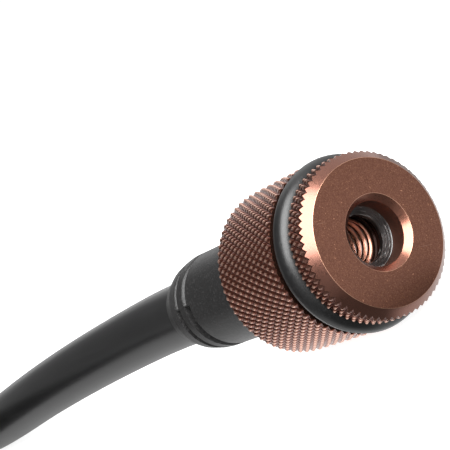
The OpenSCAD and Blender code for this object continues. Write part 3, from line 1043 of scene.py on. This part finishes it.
def tube_along(points, normals, ring, caps=True, closed=False, name="tube"):
    """Sweeps a ring of (along the normal, sideways) points along a line."""
    t = along(points, closed)
    nn = np.asarray(normals, float)
    nn = nn - t * np.sum(nn * t, axis=1)[:, None]
    nn = nn / np.linalg.norm(nn, axis=1)[:, None]
    b = np.cross(t, nn)
    v = []
    for p, q, w in zip(np.asarray(points, float), nn, b):
        v += [tuple(p + q * i + w * j) for i, j in ring]
    n, m = len(points), len(ring)
    faces = [
        (i * m + k, i * m + (k + 1) % m, (i + 1) % n * m + (k + 1) % m, (i + 1) % n * m + k)
        for i in range(n if closed else n - 1)
        for k in range(m)
    ]
    if caps and not closed:
        faces += [tuple(range(m)), tuple(range((n - 1) * m, n * m))]
    return mesh_of(name, v, faces)


def spring():
    turns, c, r = 9.0, 0.25, 3.5
    a, b = 23.9 + c, 52.5 - c
    n = int(turns * 40)
    t = np.arange(n + 1) / 40.0
    # the end turns lie nearly flat
    pace = np.where((t < 1) | (t > turns - 1), 0.52, 1.0) + np.zeros_like(t)
    x = np.concatenate([[0], np.cumsum((pace[1:] + pace[:-1]) / 2)])
    x = a + (b - a) * x / x[-1]
    q = 2 * math.pi * t
    pts = np.stack([x, r * np.cos(q), r * np.sin(q)], 1)
    nrm = np.stack([np.zeros_like(q), np.cos(q), np.sin(q)], 1)
    ring = [(c * math.cos(2 * math.pi * k / 12), c * math.sin(2 * math.pi * k / 12)) for k in range(12)]
    me = tube_along(pts, nrm, ring, name="return_spring")
    me.materials.append(steel_grip)
    o = finish_piece(piece("return_spring_coil", me, place=ON_GRIP, smooth=50), BODY, "steel", "return_spring")
    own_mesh(o)
    return o


def coil_tie():
    low = LOW_Z + 0.5  # the strap under the cable lifts it
    top = low + D_CABLE * 0.8654
    corners = [
        (-4.4, low - 2.85, 0.9), (4.4, low - 2.85, 0.9), (5.55, low - 1.35, 0.9), (5.62, low + 0.35, 1.2),
        (4.95, low + 2.1, 1.2), (2.68, top + 1.88, 1.2), (1.5, top + 2.83, 0.8), (-1.5, top + 2.83, 0.8),
        (-2.68, top + 1.88, 1.2), (-4.95, low + 2.1, 1.2), (-5.62, low + 0.35, 1.2), (-5.55, low - 1.35, 0.9),
    ]
    loop = np.array(rounded(corners, seg=4))
    nxt = np.roll(loop, -1, 0)
    step = np.linalg.norm(nxt - loop, axis=1)
    at = np.concatenate([[0], np.cumsum(step)])
    pts = np.vstack([loop, loop[:1]])
    n = 160

    def sample(u):
        u = np.mod(u, at[-1])
        return np.stack([np.interp(u, at, pts[:, 0]), np.interp(u, at, pts[:, 1])], -1)

    def band(u, closed, outward, thick, half, name):
        p = sample(u)
        d = sample(u + 0.12) - sample(u - 0.12)
        d = d / np.linalg.norm(d, axis=1)[:, None]
        out = np.stack([d[:, 1], -d[:, 0]], 1)  # the loop runs anticlockwise
        p = p + out * outward
        line = np.stack([p[:, 0], np.zeros(len(p)), p[:, 1]], 1)
        nrm = np.stack([out[:, 0], np.zeros(len(p)), out[:, 1]], 1)
        e = thick / 2
        ring = rounded([(-e, -half, e * 0.9), (e, -half, e * 0.9), (e, half, e * 0.9), (-e, half, e * 0.9)], seg=3)
        return tube_along(line, nrm, ring, closed=closed, name=name)

    place = Matrix.Translation((-123.72, COIL[1], 0))
    total = at[-1]
    bands = [
        band(np.arange(n) / n * total, True, 0.0, 0.46, 3.5, "coil_tie"),
        band(np.linspace(total * 0.36, total * 0.62, 48), False, 0.47, 0.44, 3.35, "coil_tie_end"),
    ]
    out = []
    for me, name in zip(bands, ("coil_tie_band", "coil_tie_flap")):
        me.materials.append(strap)
        out.append(finish_piece(piece(name, me, place=place, smooth=40), BODY, "strap"))
    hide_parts("coil_tie")
    return out


tail_cap()
grip_tube()
finger_plate()
top_nut()
lock_screw()
thumb_button()
grip_boot()
spring()
strap_pieces = coil_tie()

CAD_LOOKS = {
    "front_washer": brass, "rear_washer": nylon_look.mat, "swivel_ferrule": steel, "pin_guide": brass,
    "release_pin": steel, "core_wire_head": steel, "tail_ferrule": brass_grip, "plunger_bush": brass_grip,
    "plunger_rod": steel_grip, "core_wire_grip": steel_grip, "wire_screw": steel_grip, "lock_pad": brass_grip,
}
for node, look in CAD_LOOKS.items():
    o = frame["nodes"][node]
    o.data.materials.clear()
    o.data.materials.append(look)


# ---------------------------------------------------------------- floor and light


def stage():
    """A white table. The camera sees it lit, with an even glow; the object's reflections see only a painted glow, with
    painted shade in front of the head and brighter painted patches ahead of it and behind it.
    """
    s = 6.0
    me = bpy.data.meshes.new("floor")
    z = TABLE_Z * MM
    me.from_pydata([(-s, -s, z), (s, -s, z), (s, s, z), (-s, s, z)], [], [(0, 1, 2, 3)])
    floor = bpy.data.objects.new("floor", me)
    bpy.context.scene.collection.objects.link(floor)
    m = Look("floor_white", (0.42, 0.42, 0.42), 0.0, 0.9, Specular_IOR_Level=0.1)
    m.bsdf.inputs["Emission Color"].default_value = (1, 1, 1, 1)
    m.bsdf.inputs["Emission Strength"].default_value = 0.90
    sep = m.add("ShaderNodeSeparateXYZ")
    m.link(m.coord, sep.inputs[0])
    x, y = sep.outputs[0], sep.outputs[1]

    def away(cx, cy, rx, ry):
        dx = m.math("DIVIDE", m.math("SUBTRACT", x, cx), rx)
        dy = m.math("DIVIDE", m.math("SUBTRACT", y, cy), ry)
        return m.math("SQRT", m.math("ADD", m.math("MULTIPLY", dx, dx), m.math("MULTIPLY", dy, dy)))

    # painted shade: the glow drops to a fifth under and in front of the head
    low = m.math("MULTIPLY", m.span(away(0.009, -0.0098, 0.0095, 0.0123), 1.10, 0.82), m.span(y, -0.0026, -0.0050))
    front = m.math("MULTIPLY", m.span(away(0.0075, -0.0045, 0.0060, 0.0078), 1.10, 0.85), m.span(x, 0.0032, 0.0041))
    shade = m.span(m.math("MAXIMUM", low, front), 0.0, 1.0, 1.0, 0.2, smooth=False)
    # painted light: a brighter patch of glow ahead of the head on its -Y side, and one behind it
    slant = m.math("SUBTRACT", y, m.math("MULTIPLY", x, 0.45))
    side = m.math("MULTIPLY", m.span(slant, 0.012, -0.006), m.span(x, 0.006, 0.024, 0.0, 0.35))
    behind = m.span(away(-0.0115, 0.0005, 0.0155, 0.010), 1.45, 0.5, 0.0, 0.47)
    # painted shade: the glow fades far off along -X, on the -Y side of the head and on its +Y side
    far = m.span(x, -0.13, -0.014, 0.42, 1.0)
    flank = m.math("MULTIPLY", m.span(y, -0.013, -0.021), m.span(x, -0.030, -0.020))
    beyond = m.math("MULTIPLY", m.span(y, 0.012, 0.022), m.span(x, 0.012, 0.004))
    far = m.math("MULTIPLY", far, m.span(flank, 0.0, 1.0, 1.0, 0.35, smooth=False))
    far = m.math("MULTIPLY", far, m.span(beyond, 0.0, 1.0, 1.0, 0.64, smooth=False))
    glow = m.math("MULTIPLY", m.math("MULTIPLY", shade, far), m.math("ADD", m.math("ADD", side, behind), 0.92))
    soft = m.add("ShaderNodeEmission")
    m.link(glow, soft.inputs["Strength"])
    path = m.add("ShaderNodeLightPath")
    mix = m.add("ShaderNodeMixShader")
    m.link(path.outputs["Is Camera Ray"], mix.inputs[0])
    m.link(soft.outputs[0], mix.inputs[1])
    m.link(m.bsdf.outputs[0], mix.inputs[2])
    m.link(mix.outputs[0], m.out.inputs["Surface"])
    me.materials.append(m.mat)


def softbox(name, direction, distance, size, radiance, turn, aim=(0, 0, 0)):
    """A rectangle of even light. turn is the way its second side runs."""
    data = bpy.data.lights.new(name, "AREA")
    data.shape = "RECTANGLE"
    data.size, data.size_y = size
    data.energy = math.pi * size[0] * size[1] * radiance
    o = bpy.data.objects.new(name, data)
    bpy.context.scene.collection.objects.link(o)
    d = Vector(direction).normalized()
    y = (Vector(turn) - d * d.dot(Vector(turn))).normalized()
    x = y.cross(d)
    at = Vector(aim) + d * distance
    o.matrix_world = Matrix(((x.x, y.x, d.x, at.x), (x.y, y.y, d.y, at.y), (x.z, y.z, d.z, at.z), (0, 0, 0, 1)))
    o.visible_camera = False
    return o


def world(dim, bright, towards, seen, horizon):
    """Soft surroundings: dim all round, brighter towards one side and low down. The camera sees plain white."""
    w = bpy.data.worlds.new("world")
    bpy.context.scene.world = w
    w.use_nodes = True
    t = w.node_tree
    t.nodes.clear()
    out = t.nodes.new("ShaderNodeOutputWorld")
    light = t.nodes.new("ShaderNodeBackground")
    light.inputs["Color"].default_value = (1, 1, 1, 1)
    shown = t.nodes.new("ShaderNodeBackground")
    shown.inputs["Color"].default_value = (1, 1, 1, 1)
    shown.inputs["Strength"].default_value = seen
    coord = t.nodes.new("ShaderNodeTexCoord")
    unit = t.nodes.new("ShaderNodeVectorMath")
    unit.operation = "NORMALIZE"
    t.links.new(coord.outputs["Generated"], unit.inputs[0])
    dot = t.nodes.new("ShaderNodeVectorMath")
    dot.operation = "DOT_PRODUCT"
    t.links.new(unit.outputs[0], dot.inputs[0])
    dot.inputs[1].default_value = tuple(Vector(towards).normalized())
    span = t.nodes.new("ShaderNodeMapRange")
    span.interpolation_type = "SMOOTHSTEP"
    t.links.new(dot.outputs["Value"], span.inputs["Value"])
    for k, v in (("From Min", 0.80), ("From Max", 1.0), ("To Min", dim), ("To Max", bright)):
        span.inputs[k].default_value = v
    parts = t.nodes.new("ShaderNodeSeparateXYZ")
    t.links.new(unit.outputs[0], parts.inputs[0])
    high = t.nodes.new("ShaderNodeMath")
    high.operation = "ABSOLUTE"
    t.links.new(parts.outputs[2], high.inputs[0])
    rim = t.nodes.new("ShaderNodeMapRange")
    rim.interpolation_type = "SMOOTHSTEP"
    t.links.new(high.outputs[0], rim.inputs["Value"])
    for k, v in (("From Min", 0.0), ("From Max", 0.22), ("To Min", horizon), ("To Max", 0.0)):
        rim.inputs[k].default_value = v
    total = t.nodes.new("ShaderNodeMath")
    total.operation = "ADD"
    t.links.new(span.outputs["Result"], total.inputs[0])
    t.links.new(rim.outputs["Result"], total.inputs[1])
    over = t.nodes.new("ShaderNodeVectorMath")
    over.operation = "DOT_PRODUCT"
    t.links.new(unit.outputs[0], over.inputs[0])
    over.inputs[1].default_value = tuple(Vector((-0.55, 0.56, 0.62)).normalized())
    patch = t.nodes.new("ShaderNodeMapRange")
    patch.interpolation_type = "SMOOTHSTEP"
    t.links.new(over.outputs["Value"], patch.inputs["Value"])
    for k, v in (("From Min", 0.885), ("From Max", 0.975), ("To Min", 0.0), ("To Max", 1.15)):
        patch.inputs[k].default_value = v
    both = t.nodes.new("ShaderNodeMath")
    both.operation = "ADD"
    t.links.new(total.outputs[0], both.inputs[0])
    t.links.new(patch.outputs["Result"], both.inputs[1])
    total = both
    t.links.new(total.outputs[0], light.inputs["Strength"])
    path = t.nodes.new("ShaderNodeLightPath")
    mix = t.nodes.new("ShaderNodeMixShader")
    t.links.new(path.outputs["Is Camera Ray"], mix.inputs[0])
    t.links.new(light.outputs[0], mix.inputs[1])
    t.links.new(shown.outputs[0], mix.inputs[2])
    t.links.new(mix.outputs[0], out.inputs[0])


stage()
softbox("key", (0.60, -0.18, 0.78), 0.50, (0.48, 0.64), 11.5, turn=(-0.32, 1.25, 0.40))
softbox("fill", (0.0, 0.91, 0.41), 0.70, (1.0, 0.6), 1.0, turn=(1, 0, 0))
world(0.19, 1.6, (-0.80, 0.56, -0.25), 1.0, 0.42)
scene = bpy.context.scene
scene.view_settings.view_transform = "Standard"
scene.view_settings.look = "None"
scene.view_settings.exposure = 0.0
scene.view_settings.gamma = 1.0
